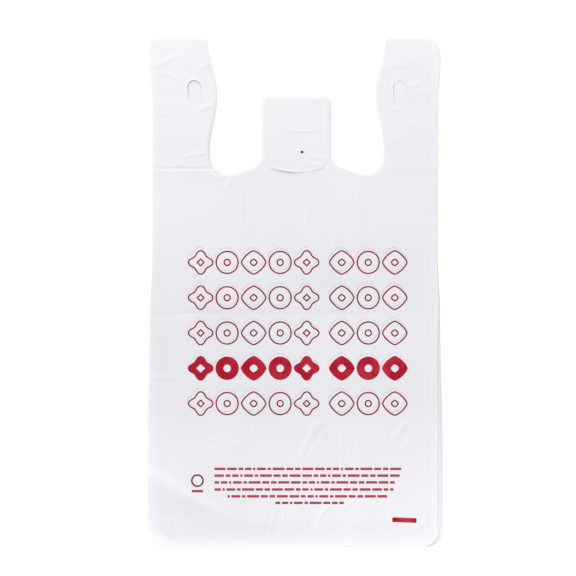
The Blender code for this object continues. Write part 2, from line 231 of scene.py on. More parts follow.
# The print: five rows of shapes, in a group of five and a group of three
ROW_X = -0.1128
ROW_Y = 0.0317
ROW_PITCH = 0.037
ROW_COUNT = 5
SOLID_ROW = 3
UNIT_PITCH = 0.0278
UNIT_WIDTH = 0.0272
UNIT_HEIGHT = 0.0262
GROUP_GAP = 0.0090
GROUPS = (("rosette", "ring", "lozenge", "ring", "rosette"), ("lozenge", "ring", "lozenge"))
ROSETTE_LOBES = 4
ROSETTE_LOBE = 0.17
RING_SHARES = (0.90, 0.94)
LOZENGE_POWER = 1.4
INK_LINE = 0.0015
COUNTER_SHARE = 0.32
GHOST_LINE = 0.0008
GHOST_SHIFT = (-0.0011, 0.0034)

# Fine print, as lines of plain dashes: height, start and end
FINE_LINES = (
    (-0.1848, -0.0845, 0.1149),
    (-0.1919, -0.0845, 0.1138),
    (-0.1990, -0.0845, 0.1065),
    (-0.2064, -0.0845, 0.1033),
    (-0.2136, -0.0708, 0.0997),
    (-0.2205, -0.0205, 0.0514),
)
DASHES = (0.0118, 0.0102, 0.0052, 0.0068, 0.0026, 0.0094, 0.0038, 0.0127, 0.0076, 0.0060)
DASH_GAP = 0.0016
DASH_HEIGHT = 0.0027
DASH_CORNER_SHARE = 0.35
MARK_X = -0.1023
MARK_Y = -0.1971
MARK_RADIUS = 0.0068
MARK_LINE = 0.0018
CAPTION_Y = -0.2081
CAPTION_WIDTH = 0.0118
BAR_X = 0.1148
BAR_Y = -0.2385
BAR_WIDTH = 0.0256
BAR_HEIGHT = 0.0050
BAR_TILT = math.radians(-2.2)

# Mesh spacing
FRONT_STEP = 0.0029
INNER_STEP = 0.0070
STATION_STEP = 0.0040
FEATURE_STEP = 0.0026
DETAIL_STEP = 0.0005
RIM_ROWS = (0.0006, 0.0014)
WRINKLE_ROWS = (-1.6, -0.8, 0.0, 0.8, 1.6)
WRINKLE_CELLS = 4
PUCKER_ROWS = (0.9, 1.2, 1.6, 2.1)
SHAPE_STEPS = 40
COUNTER_STEPS = 20
LINE_TOLERANCE = 2e-5
MERGE_TOLERANCE = 1e-7
ARC_STEPS = 16
SLIT_STEPS = 28

# Colours, as linear light
FILM_COLOUR = (0.835, 0.825, 0.868)
SEAL_COLOUR = (0.975, 0.970, 0.980)
# The leaves' film is this much darker, as painted shade where they show beside the front panel's folds and
# through its slits
LEAF_SHADE_SHARE = 0.93
# How light the film is at each height, at its left side and at its right side: partly its own tone, whiter
# where more layers lie together, and partly painted light and shade, darker across the middle and lighter
# to the lower right
TONES_WITH_PAINTED_LIGHT = (
    (-0.262, 1.03, 1.11),
    (-0.190, 1.02, 1.06),
    (-0.105, 0.97, 0.98),
    (0.000, 0.97, 0.98),
    (0.115, 1.04, 1.01),
    (0.190, 1.07, 1.05),
)
BLOTCH = 0.015
BLOTCH_NOISE = (9.0, 3.0)
BLOTCH_RANGE = (0.35, 0.65)
# Painted highlight along the outer folds: how far from the middle it starts, and how strong it is at the
# base and from the middle up
FOLD_HIGHLIGHT_START = 0.1405
BASE_FOLD_HIGHLIGHT = 0.09
TOP_FOLD_HIGHLIGHT = 0.045
SEAL_FADE = 0.0110
# The white of the base weld, with painted light on the edge of the bottom-left corner, reaches this much
# higher at the left side, and no higher from this x on
CORNER_SEAL_AND_LIGHT_RISE = 0.019
CORNER_SEAL_AND_LIGHT_START = -0.132
SEAL_RAGGED = 0.003
SEAL_NOISE = (45.0, 2.0)
TOP_SEAL_SHARE = 0.42
FILM_ROUGHNESS = 0.42
FILM_SPECULAR = 0.25
CRINKLE_NOISE = (160.0, 4.0)
STREAK_SCALE = (1.0, 0.04, 1.0)
STREAK_NOISE = (90.0, 2.0)
BUMP_STRENGTH = 0.25
BUMP_DISTANCE = 0.0002
SHARP_ANGLE = math.radians(50)
NODE_SPACING = 200
INK_COLOUR = (0.415, 0.0040, 0.0230)
WORN_INK_COLOUR = (0.580, 0.0400, 0.0650)
LINE_INK_COLOUR = (0.260, 0.0080, 0.0280)
FINE_INK_COLOUR = (0.440, 0.0600, 0.1000)
GHOST_COLOUR = (0.720, 0.630, 0.690)
# The painted shade round the pin hole
PIN_SHADE_COLOUR = (0.030, 0.024, 0.028)
INK_ROUGHNESS = 0.5
INK_SPECULAR = 0.12
WEAR_ACROSS = (0.25, 1.0)
WEAR_NOISE = (60.0, 5.0)
WEAR_RANGE = (0.40, 0.72)

# Camera, floor and light
CAMERA_HEIGHT = 3.0
VIEW_CENTRE = (-0.0073, 0.0049)
VIEW_WIDTH = 0.6043
SENSOR_WIDTH = 36.0
VIEW_REACH = 20.0
FLOOR_SIZE = 8.0
FLOOR_DROP = 0.0002
FLOOR_COLOUR = (0.65, 0.65, 0.65, 1.0)
FLOOR_GLOW = 0.46
WORLD_LIGHT = 0.62
KEY_LIGHT = 0.38
KEY_SPREAD = math.radians(40)
KEY_ELEVATION = math.radians(40)
KEY_AZIMUTH = math.radians(126)

BASE = -LENGTH / 2
TOP = LENGTH / 2
PITCH = FILM + LAYER_GAP
SEAL_PITCH = FILM + SEAL_GAP
BACK, LOWER_LEAF, UPPER_LEAF, FRONT = range(4)
BARE, LINE_INK, SOLID_INK, FINE_INK, PIN_SHADE, GHOST, LEAF = range(7)


def ease(start, end, value):
    """0 before start, 1 after end, and a smooth rise between them."""
    share = np.clip((value - start) / (end - start), 0.0, 1.0)
    return share * share * (3 - 2 * share)


def mix(a, b, share):
    return a + (b - a) * share


def arch(share):
    """0 at both ends and 1 in the middle."""
    return 4 * share * (1 - share)


def bump(distance, width):
    """A soft mound, 1 at distance 0."""
    return np.exp(-((distance / width) ** 2))


def corner_inset(rise, corner):
    """How far a rounded corner draws the side in, at this rise above the end."""
    tall, wide = corner
    return wide * (1 - np.sqrt(1 - np.clip(1 - rise / tall, 0.0, 1.0) ** 2))


def side(y, sign):
    """The x of the outer fold on the left (-1) or the right (1)."""
    height = y - BASE
    inset = mix(0.0, MIDDLE_TUCK, ease(HIP_HEIGHT, MIDDLE_CREASE, height))
    inset = mix(inset, CHEST_TUCK, ease(MIDDLE_CREASE, CHEST_HEIGHT, height))
    inset = mix(inset, TOP_TUCK, ease(SHOULDER_HEIGHT, WRIST_HEIGHT, height))
    base_corner = BASE_LEFT_CORNER if sign < 0 else BASE_RIGHT_CORNER
    top_corner = TOP_LEFT_CORNER if sign < 0 else TOP_RIGHT_CORNER
    inset += corner_inset(height, base_corner) + corner_inset(TOP - y, top_corner)
    return sign * (WIDTH / 2 - inset)


def back_fold(y, sign):
    """The x at which the back panel ends in its outer fold."""
    return side(y, sign) - sign * PITCH / 2


def front_fold(y, sign):
    """The x at which the front panel ends in its outer fold."""
    tuck = LEFT_TUCK if sign < 0 else RIGHT_TUCK
    return back_fold(y, sign) - sign * np.interp(y - BASE, *zip(*tuck))


def inner_fold(y, sign):
    """The x at which the two leaves of a gusset end in its inner fold."""
    return back_fold(y, sign) - sign * (GUSSET_DEPTH - PITCH)


def run(start, end, cells):
    return [mix(start, end, i / cells) for i in range(cells + 1)]


def side_stations(sign):
    """The heights at which each layer has a point on the outer fold, closer in the corners."""
    base_corner = BASE_LEFT_CORNER if sign < 0 else BASE_RIGHT_CORNER
    top_corner = TOP_LEFT_CORNER if sign < 0 else TOP_RIGHT_CORNER
    turns = [math.pi / 2 * i / ARC_STEPS for i in range(ARC_STEPS)]
    low = [BASE + base_corner[0] * (1 - math.cos(a)) for a in turns]
    high = [TOP - top_corner[0] * (1 - math.cos(a)) for a in turns]
    start, end = BASE + base_corner[0], TOP - top_corner[0]
    return low + run(start, end, round((end - start) / STATION_STEP)) + high[::-1]


def fillet(before, corner, after, scale):
    """The arc that rounds one corner, its radius cut to this scale where there is little room."""
    x, y, radius = corner
    to_before = math.atan2(before[1] - y, before[0] - x)
    to_after = math.atan2(after[1] - y, after[0] - x)
    turn = (to_after - to_before + math.pi) % math.tau - math.pi
    radius *= scale
    far = radius / math.sin(abs(turn) / 2)
    centre_x = x + far * math.cos(to_before + turn / 2)
    centre_y = y + far * math.sin(to_before + turn / 2)
    start = to_before - math.copysign(math.pi / 2, turn)
    sweep = math.copysign(math.pi, turn) - turn
    steps = max(2, round(ARC_STEPS * abs(sweep) / (math.pi / 2)))
    angles = [start - sweep * i / steps for i in range(steps + 1)]
    return [(centre_x + radius * math.cos(a), centre_y + radius * math.sin(a)) for a in angles]


def fillet_reach(before, corner, after):
    """How far from its corner a full arc would start."""
    to_before = math.atan2(before[1] - corner[1], before[0] - corner[0])
    to_after = math.atan2(after[1] - corner[1], after[0] - corner[0])
    turn = (to_after - to_before + math.pi) % math.tau - math.pi
    return corner[2] / math.tan(abs(turn) / 2)


def rounded(corners):
    """A line through corners (x, y, radius), with an arc in place of each inner one."""
    triples = list(zip(corners, corners[1:], corners[2:]))
    reaches = [0.0] + [fillet_reach(*triple) for triple in triples] + [0.0]
    sides = [math.dist(a[:2], b[:2]) for a, b in zip(corners, corners[1:])]
    points = [corners[0][:2]]
    for i, triple in enumerate(triples):
        before = sides[i] / (reaches[i] + reaches[i + 1])
        after = sides[i + 1] / (reaches[i + 1] + reaches[i + 2])
        points += fillet(*triple, min(1.0, FILLET_SHARE * before, FILLET_SHARE * after))
    points.append(corners[-1][:2])
    return points


def handle_gap(depth):
    """Half the gap between the handles, at this depth below their tops."""
    if depth < BULGE_DEPTH:
        return mix(HANDLE_GAP_TOP, HANDLE_GAP_BULGE, ease(0, BULGE_DEPTH, depth))
    return mix(HANDLE_GAP_BULGE, HANDLE_GAP_ROOT, ease(BULGE_DEPTH, ROOT_DEPTH, depth))


def mouth_outline():
    """The cut from handle top to handle top, closed above the bag."""
    top_x = HANDLE_GAP_TOP + HANDLE_TOP_FILLET
    half = [(top_x, TOP + HANDLE_TOP_FILLET)]
    for i in range(ARC_STEPS // 2 + 1):
        angle = math.pi / 2 * (1 + i / (ARC_STEPS // 2))
        x = top_x + HANDLE_TOP_FILLET * math.cos(angle)
        half.append((x, TOP - HANDLE_TOP_FILLET * (1 - math.sin(angle))))
    depths = run(HANDLE_TOP_FILLET, ROOT_DEPTH, round(ROOT_DEPTH / STATION_STEP))[1:]
    half += [(handle_gap(depth), TOP - depth) for depth in depths]
    mouth = rounded(
        [
            (HANDLE_GAP_ROOT, TOP - ROOT_DEPTH, 0),
            (HANDLE_GAP_ROOT, TOP - MOUTH_DEPTH, ROOT_FILLET),
            (MOUTH_LOW, TOP - MOUTH_DEPTH, LOW_FILLET),
            (TAB_WIDTH / 2, TOP - MOUTH_DEPTH + MOUTH_RISE, TAB_FILLET),
            (TAB_WIDTH / 2, TOP - TAB_DEPTH, TAB_CORNER),
            (0, TOP - TAB_DEPTH, 0),
        ]
    )
    half += mouth[1:-1]
    whole = half + [(-x, y) for x, y in reversed(half)]
    return [(x + DIE_SHIFT, y) for x, y in reversed(whole)]


def gape_along(path, gape):
    """How far a slit gapes at each point of its path."""
    places = np.linspace(0.0, 1.0, len(path))
    return GAPE_UNIT * np.interp(places, np.linspace(0.0, 1.0, len(gape)), gape)


def ribbon(path, widths):
    """The outline of a slit along a path, with its width at each point."""
    sides = ([], [])
    for i, (x, y) in enumerate(path):
        before, after = path[max(i - 1, 0)], path[min(i + 1, len(path) - 1)]
        along = math.atan2(after[1] - before[1], after[0] - before[0])
        for points, way in zip(sides, (-1, 1)):
            reach = way * float(widths[i]) / 2
            points.append((x - reach * math.sin(along), y + reach * math.cos(along)))
    return sides[0] + sides[1][::-1]


def hang_slit(sign):
    """The path of the upturned U in one handle, from its left foot to its right foot."""
    middle = DIE_SHIFT + HANG_SLIT_SHIFT + sign * (HANDLE_GAP_BULGE + HANG_SLIT_INSET)
    top, radius = TOP - HANG_SLIT_DEPTH, HANG_SLIT_WIDTH / 2
    foot = top - HANG_SLIT_HEIGHT
    shares = run(0.0, 1.0, SLIT_STEPS)[:-1]
    leg = [(radius - HANG_SLIT_TAPER * (1 - s), mix(foot, top - radius, s)) for s in shares]
    turns = run(math.pi, 0.0, SLIT_STEPS)
    arch = [(radius * math.cos(a), top - radius * (1 - math.sin(a))) for a in turns]
    path = [(-reach, y) for reach, y in leg] + arch + leg[::-1]
    return [(middle + reach, y) for reach, y in path]


def tear_slit():
    """The path of the sagging slit under the tab, along which the tab tears off."""
    lowest = TOP - TEAR_SLIT_DEPTH
    shares = run(-1.0, 1.0, 2 * SLIT_STEPS)
    return [(DIE_SHIFT + TEAR_SLIT_LENGTH / 2 * i, lowest + TEAR_SLIT_SAG * i**2) for i in shares]


def tab_slit():
    x, y = DIE_SHIFT + TAB_SLIT_SHIFT, TOP - TAB_SLIT_DEPTH
    return [(x + TAB_SLIT_LENGTH / 2 * i, y) for i in run(-1.0, 1.0, 2 * SLIT_STEPS)]


SLITS = (
    (hang_slit(-1), LEFT_HANG_GAPE),
    (hang_slit(1), RIGHT_HANG_GAPE),
    (tab_slit(), TAB_GAPE),
    (tear_slit(), TEAR_GAPE),
)


def circle(x, y, radius, count):
    turns = (math.tau * i / count for i in range(count))
    return [(x + radius * math.cos(a), y + radius * math.sin(a)) for a in turns]


def die_outlines(layer):
    """The mouth, the slits, which gape in the front panel only, and the pin hole."""
    slits = []
    for path, gape in SLITS:
        slits.append(ribbon(path, gape_along(path, gape if layer == FRONT else CLOSED_GAPE)))
    pin = circle(DIE_SHIFT + PIN_SHIFT, TOP - PIN_DEPTH, PIN_HOLE_RADIUS, ARC_STEPS)
    return [mouth_outline()] + slits + [pin]


def shape(kind, x, y, scale=1.0):
    """The outline of one printed shape."""
    points = []
    count = SHAPE_STEPS if scale == 1.0 else COUNTER_STEPS
    for i in range(count):
        angle = math.tau * i / count
        reach_x, reach_y = UNIT_WIDTH / 2, UNIT_HEIGHT / 2
        c, s = math.cos(angle), math.sin(angle)
        if kind == "rosette":
            reach = (1 + ROSETTE_LOBE * math.cos(ROSETTE_LOBES * angle)) / (1 + ROSETTE_LOBE)
        elif kind == "ring":
            reach, reach_x, reach_y = 1.0, RING_SHARES[0] * reach_x, RING_SHARES[1] * reach_y
        else:
            reach = (abs(c) ** LOZENGE_POWER + abs(s) ** LOZENGE_POWER) ** (-1 / LOZENGE_POWER)
        points.append((x + scale * reach_x * reach * c, y + scale * reach_y * reach * s))
    return points


def inset(outline, distance):
    """The outline moved inwards by this distance."""
    moved = []
    for i, (x, y) in enumerate(outline):
        before, after = outline[i - 1], outline[(i + 1) % len(outline)]
        along = math.atan2(after[1] - before[1], after[0] - before[0])
        moved.append((x - distance * math.sin(along), y + distance * math.cos(along)))
    return moved


def dash(start, end, y, height, tilt=0.0):
    """A bar with softened ends, turned about its middle."""
    x, reach, half = (start + end) / 2, (end - start) / 2, height / 2
    corner = min(reach, half) * DASH_CORNER_SHARE
    ring = []
    for way_x, way_y in ((1, -1), (1, 1), (-1, 1), (-1, -1)):
        ends = [(way_x * reach, way_y * (half - corner)), (way_x * (reach - corner), way_y * half)]
        ring += ends if way_x * way_y > 0 else ends[::-1]
    c, s = math.cos(tilt), math.sin(tilt)
    return [(x + u * c - v * s, y + u * s + v * c) for u, v in ring]


def print_outlines():
    """Each outline of the print and of the painted shade round the pin hole, with its kind, and 1 where
    that starts or -1 where it stops.
    """
    found = []

    def line(outline, kind, width):
        found.append((outline, kind, 1))
        found.append((inset(outline, width), kind, -1))

    for row in range(ROW_COUNT):
        x, y = ROW_X + UNIT_PITCH / 2, ROW_Y - row * ROW_PITCH
        for group in GROUPS:
            for name in group:
                line(shape(name, x + GHOST_SHIFT[0], y + GHOST_SHIFT[1]), GHOST, GHOST_LINE)
                if row == SOLID_ROW:
                    found.append((shape(name, x, y), SOLID_INK, 1))
                    found.append((shape(name, x, y, COUNTER_SHARE), SOLID_INK, -1))
                else:
                    line(shape(name, x, y), LINE_INK, INK_LINE)
                    line(shape(name, x, y, COUNTER_SHARE), LINE_INK, INK_LINE)
                x += UNIT_PITCH
            x += GROUP_GAP
    turn = 0
    for y, x, end in FINE_LINES:
        while end - x > 2 * DASH_GAP:
            stop = min(x + DASHES[turn % len(DASHES)], end)
            found.append((dash(x, stop, y, DASH_HEIGHT), FINE_INK, 1))
            x = stop + DASH_GAP
            turn += 1
    line(circle(MARK_X, MARK_Y, MARK_RADIUS, 2 * ARC_STEPS), LINE_INK, MARK_LINE)
    caption = (MARK_X - CAPTION_WIDTH / 2, MARK_X + CAPTION_WIDTH / 2)
    found.append((dash(*caption, CAPTION_Y, DASH_HEIGHT), FINE_INK, 1))
    bar = (BAR_X - BAR_WIDTH / 2, BAR_X + BAR_WIDTH / 2)
    found.append((dash(*bar, BAR_Y, BAR_HEIGHT, BAR_TILT), SOLID_INK, 1))
    # Painted shade: a dark disc round the pin hole
    pin = (DIE_SHIFT + PIN_SHIFT, TOP - PIN_DEPTH)
    found.append((circle(*pin, PIN_SHADE_RADIUS, ARC_STEPS), PIN_SHADE, 1))
    return found


def tree_of(points):
    tree = KDTree(len(points))
    for i, (x, y) in enumerate(points):
        tree.insert((x, y, 0.0), i)
    tree.balance()
    return tree


def spread(outline, step):
    """Points along a closed outline, no further apart than this step."""
    points = []
    for a, b in zip(outline, outline[1:] + outline[:1]):
        cells = max(1, math.ceil(math.dist(a, b) / step))
        points += [(mix(a[0], b[0], i / cells), mix(a[1], b[1], i / cells)) for i in range(cells)]
    return points


def grid(step):
    """Points in a triangular pattern over the whole bag."""
    rows = math.ceil(LENGTH / (step * math.sqrt(3) / 2))
    columns = math.ceil(WIDTH / step)
    points = []
    for j in range(1, rows):
        y = BASE + LENGTH * j / rows
        shift = 0.5 * (j % 2)
        points += [(-WIDTH / 2 + step * (i + shift), y) for i in range(columns + 1)]
    return points


def wrinkle_points():
    """Points that follow each wrinkle closely, so that the mesh can show it."""
    points = []
    for ax, ay, bx, by, bow, width, _ in WRINKLES:
        length = math.hypot(bx - ax, by - ay)
        cells = max(WRINKLE_CELLS, math.ceil(length / FEATURE_STEP))
        for i in range(cells + 1):
            share = i / cells
            for k in WRINKLE_ROWS:
                reach = bow * arch(share) + k * width
                x = mix(ax, bx, share) - reach * (by - ay) / length
                y = mix(ay, by, share) + reach * (bx - ax) / length
                points.append((x, y))
    for k in PUCKER_ROWS:
        points += circle(DIE_SHIFT + PIN_SHIFT, TOP - PIN_DEPTH, k * PUCKER_REACH, 4 * PUCKER_RAYS)
    return points


def thin_out(points, fixed, clear):
    """The points that keep this clear of each other and of the fixed ones."""
    cell = clear
    taken = {}
    kept = []
    for x, y in fixed:
        taken.setdefault((math.floor(x / cell), math.floor(y / cell)), []).append((x, y))
    for x, y in points:
        i, j = math.floor(x / cell), math.floor(y / cell)
        near = [p for a in (-1, 0, 1) for b in (-1, 0, 1) for p in taken.get((i + a, j + b), ())]
        if all(math.dist((x, y), p) >= clear for p in near):
            taken.setdefault((i, j), []).append((x, y))
            kept.append((x, y))
    return kept


def lay_out(panel, cuts, printed, inner):
    """Triangles of one layer in plan: its points, its triangles and what each one carries."""
    outlines = [panel] + cuts + [outline for outline, _, _ in printed]
    coords, faces = [], []
    for outline in outlines:
        faces.append(list(range(len(coords), len(coords) + len(outline))))
        coords += outline
    vectors = [Vector(point) for point in coords + inner]
    verts, _, triangles, _, _, inside = delaunay_2d_cdt(vectors, [], faces, 0, MERGE_TOLERANCE)
    kept, carried = [], []
    for triangle, regions in zip(triangles, inside):
        if 0 in regions and not any(1 <= region <= len(cuts) for region in regions):
            kept.append(tuple(triangle))
            depth = [0] * LEAF
            for region in regions:
                if region > len(cuts):
                    _, kind, step = printed[region - len(cuts) - 1]
                    depth[kind] += step
            carried.append(next((kind for kind, count in enumerate(depth) if count > 0), BARE))
    used = sorted({i for triangle in kept for i in triangle})
    order = {old: new for new, old in enumerate(used)}
    points = np.array([verts[i][:] for i in used])
    return points, [tuple(order[i] for i in triangle) for triangle in kept], carried


def looseness(points):
    """0 at the welds and the cut mouth, where the layers are pressed together, and 1 between."""
    low, high = BASE + BASE_SEAL, TOP - TOP_SEAL
    loose = ease(low, low + SEAL_RUN, points[:, 1]) * (1 - ease(high - SEAL_RUN, high, points[:, 1]))
    tree = tree_of(spread(mouth_outline(), FEATURE_STEP / 2))
    from_mouth = np.array([tree.find((x, y, 0.0))[2] for x, y in points])
    return loose * mix(1 - DIE_PRESS, 1, ease(0, DIE_PRESS_RUN, from_mouth))


def fold_relief(x, height):
    """The soft fold from the left side, steep above its crest, gentle below, narrowing as it dies."""
    share = (x - side(BASE + FOLD_HEIGHT, -1)) / FOLD_LENGTH
    slope = (FOLD_HEIGHT - FOLD_END_HEIGHT) / FOLD_LENGTH
    above = (height - mix(FOLD_HEIGHT, FOLD_END_HEIGHT, share)) / math.hypot(1, slope)
    run_share = np.clip(share, 0, 1)
    width = np.where(above > 0, mix(*FOLD_UPPER_WIDTHS, run_share), mix(*FOLD_LOWER_WIDTHS, run_share))
    return FOLD_RELIEF * bump(above, width) * (1 - ease(*FOLD_FADE, share))


def slack_relief(x, y):
    """Two long waves that cross, as in film that has lain folded, and die out at the sides."""
    waves = np.sin(math.tau * (y / SLACK_LENGTH + x / SLACK_WIDTH))
    waves += np.sin(math.tau * (y / SLACK_LENGTH - x / (2 * SLACK_WIDTH)) + SLACK_PHASE)
    margin = np.minimum(x - side(y, -1), side(y, 1) - x)
    return SLACK_RELIEF * (2 + waves) / 4 * ease(0, SLACK_MARGIN, margin)


def wrinkle_relief(x, y):
    total = np.zeros_like(x)
    for ax, ay, bx, by, bow, width, lift in WRINKLES:
        length = math.hypot(bx - ax, by - ay)
        along = ((x - ax) * (bx - ax) + (y - ay) * (by - ay)) / length**2
        across = ((y - ay) * (bx - ax) - (x - ax) * (by - ay)) / length
        across -= bow * arch(along)
        total += lift * bump(across, width) * ease(*WRINKLE_RISE, along) * (1 - ease(*WRINKLE_FADE, along))
    return total


def pin_pucker(x, y):
    """The film drawn into small rays round the pin hole."""
    dx, dy = x - DIE_SHIFT - PIN_SHIFT, y - TOP + PIN_DEPTH
    rays = (1 + np.cos(PUCKER_RAYS * np.arctan2(dy, dx))) / 2
    return PUCKER_RELIEF * rays * bump(np.hypot(dx, dy) - PUCKER_REACH, PUCKER_WIDTH)


def lip_relief(points):
    """How far the film stands up beside the slits, which is more where they gape wider."""
    places = [place for path, _ in SLITS for place in path]
    gapes = np.concatenate([gape_along(path, gape) for path, gape in SLITS])
    tree = tree_of(places)
    found = [tree.find((x, y, 0.0)) for x, y in points]
    distances = np.array([distance for _, _, distance in found])
    return LIP_RISE * gapes[[index for _, index, _ in found]] * bump(distances, LIP_REACH)


def layer_heights(layer, points):
    """The middle of one layer of film over each place."""
    x, y = points[:, 0], points[:, 1]
    from_fold = np.minimum(x - side(y, -1), side(y, 1) - x)
    loose = looseness(points)
    pitch = mix(SEAL_PITCH, PITCH, loose)
    height = FILM / 2 + layer * pitch
    if layer == FRONT:
        height -= (FRONT - 1) * pitch * ease(0, SETTLE_RUN, from_fold - GUSSET_DEPTH)
        lowest = height - pitch + LEAST_RISE
        gather = GATHER_RELIEF * (1 + np.cos(math.tau * x / GATHER_PITCH)) / 2
        gather *= bump(x, GATHER_HALF_WIDTH) * (1 - ease(0, GATHER_RUN, y - BASE - BASE_SEAL))
        height += (fold_relief(x, y - BASE) + gather + slack_relief(x, y) + pin_pucker(x, y)) * loose
        height += wrinkle_relief(x, y) * mix(SEAL_WRINKLE_SHARE, 1.0, loose)
        height += lip_relief(points)
        height = np.maximum(height, lowest)
    return height


class Shell:
    """The points and faces of the whole film."""

    def __init__(self):
        self.points = []
        self.faces = []
        self.carried = []

    def add_layer(self, points, heights, triangles, carried, up):
        """Adds one layer and returns the number of its first point."""
        start = len(self.points)
        self.points += [(x, y, z) for (x, y), z in zip(points.tolist(), heights.tolist())]
        for a, b, c in triangles:
            face = (start + a, start + b, start + c)
            self.faces.append(face if up else face[::-1])
        self.carried += carried
        return start

    def join(self, upper, lower, sign, flip):
        """Closes a fold between two layers with a half round that bulges to this side."""
        rows = []
        for a, b in zip(upper, lower):
            (xa, y, za), (xb, _, zb) = self.points[a], self.points[b]
            row = [a]
            for turn in run(math.pi / 4, -math.pi / 4, 2):
                x = (xa + xb) / 2 + sign * PITCH / 2 * math.cos(turn)
                z = (za + zb) / 2 + (za - zb) / 2 * math.sin(turn)
                row.append(len(self.points))
                self.points.append((x, y, z))
            rows.append(row + [b])
        for first, second in zip(rows, rows[1:]):
            for i in range(len(first) - 1):
                face = (first[i], first[i + 1], second[i + 1], second[i])
                self.faces.append(face if flip else face[::-1])
                self.carried.append(BARE)


def fold_chain(points, start, line):
    """The points of a layer that lie on a fold line, from the base up."""
    on_line = np.abs(line(points[:, 1]) - points[:, 0]) < LINE_TOLERANCE
    chain = np.nonzero(on_line)[0]
    return [start + int(i) for i in chain[np.argsort(points[chain, 1])]]


def rim_points(panel, cuts):
    """Points in rows inside the panel's edge and beside every cut, so that the film turns there."""
    points = []
    for row in RIM_ROWS:
        points += inset(spread(panel, FEATURE_STEP / 2), row)
        for cut in cuts:
            points += inset(spread(cut, FEATURE_STEP / 2), -row)
    return points


def build_film():
    cuts = die_outlines(FRONT)
    printed = print_outlines()
    stations = {sign: side_stations(sign) for sign in (-1, 1)}

    def along(line, sign):
        return [(float(line(y, sign)), y) for y in stations[sign]]

    shell = Shell()
    panel = along(front_fold, 1) + along(front_fold, -1)[::-1]
    outlines = [panel] + cuts + [outline for outline, _, _ in printed]
    fixed = [point for outline in outlines for point in spread(outline, FRONT_STEP / 2)]
    details = thin_out(rim_points(panel, cuts) + wrinkle_points(), fixed, DETAIL_STEP)
    fill = thin_out(grid(FRONT_STEP), fixed + details, FRONT_STEP / 2)
    front = lay_out(panel, cuts, printed, details + fill)
    front_start = shell.add_layer(front[0], layer_heights(FRONT, front[0]), *front[1:], True)

    cuts = die_outlines(BACK)

    def filled(outline):
        edges = [point for ring in [outline] + cuts for point in spread(ring, INNER_STEP / 2)]
        return thin_out(grid(INNER_STEP), edges, INNER_STEP / 2)

    panel = along(back_fold, 1) + along(back_fold, -1)[::-1]
    back = lay_out(panel, cuts, [], filled(panel))
    back_start = shell.add_layer(back[0], layer_heights(BACK, back[0]), *back[1:], False)
    for sign in (-1, 1):
        ends = {}
        for layer, outer, up in ((UPPER_LEAF, front_fold, False), (LOWER_LEAF, back_fold, True)):
            outline = along(outer, sign) + along(inner_fold, sign)[::-1]
            outline = outline if sign > 0 else outline[::-1]
            points, triangles, carried = lay_out(outline, cuts, [], filled(outline))
            heights = layer_heights(layer, points)
            # The leaves take the darker film, painted shade
            start = shell.add_layer(points, heights, triangles, [LEAF] * len(carried), up)
            for line in (outer, inner_fold):
                ends[layer, line] = fold_chain(points, start, lambda y: line(y, sign))
        front_edge = fold_chain(front[0], front_start, lambda y: front_fold(y, sign))
        back_edge = fold_chain(back[0], back_start, lambda y: back_fold(y, sign))
        shell.join(front_edge, ends[UPPER_LEAF, front_fold], sign, sign > 0)
        shell.join(ends[LOWER_LEAF, back_fold], back_edge, sign, sign > 0)
        shell.join(ends[UPPER_LEAF, inner_fold], ends[LOWER_LEAF, inner_fold], -sign, sign > 0)
    return shell


def node(tree, kind, **values):
    """A new node, to the right of the ones before it."""
    made = tree.nodes.new(kind)
    made.location = (NODE_SPACING * len(tree.nodes), 0)
    for name, value in values.items():
        setattr(made, name, value)
    return made


def tone_and_light_ramp(tree, column, share):
    """A ramp of the film's colour from the base edge to the handle tops, at one side of the bag, with
    painted light and shade in it.
    """
    made = node(tree, "ShaderNodeValToRGB")
    made.color_ramp.interpolation = "EASE"
    elements = made.color_ramp.elements
    places = [(row[0] - BASE) / LENGTH for row in TONES_WITH_PAINTED_LIGHT]
    for place in places[1:-1]:
        elements.new(place)
    for element, place, row in zip(elements, places, TONES_WITH_PAINTED_LIGHT):
        element.position = place
        element.color = (*(share * row[column] * c for c in FILM_COLOUR), 1.0)
    return made


def ranged(tree, value, source, target):
    """A value moved from one range to another, and held at its ends."""
    made = node(tree, "ShaderNodeMapRange")
    made.inputs["From Min"].default_value = source[0]
    made.inputs["From Max"].default_value = source[1]
    made.inputs["To Min"].default_value = target[0]
    made.inputs["To Max"].default_value = target[1]
    tree.links.new(value, made.inputs["Value"])
    return made.outputs["Result"]


def noise(tree, place, scale, detail):
    made = node(tree, "ShaderNodeTexNoise")
    made.inputs["Scale"].default_value = scale
    made.inputs["Detail"].default_value = detail
    tree.links.new(place, made.inputs["Vector"])
    return made.outputs["Fac"]


def combined(tree, operation, first, second, **values):
    """Two values put together by one operation."""
    made = node(tree, "ShaderNodeMath", operation=operation, **values)
    tree.links.new(first, made.inputs[0])
    tree.links.new(second, made.inputs[1])
    return made.outputs["Value"]


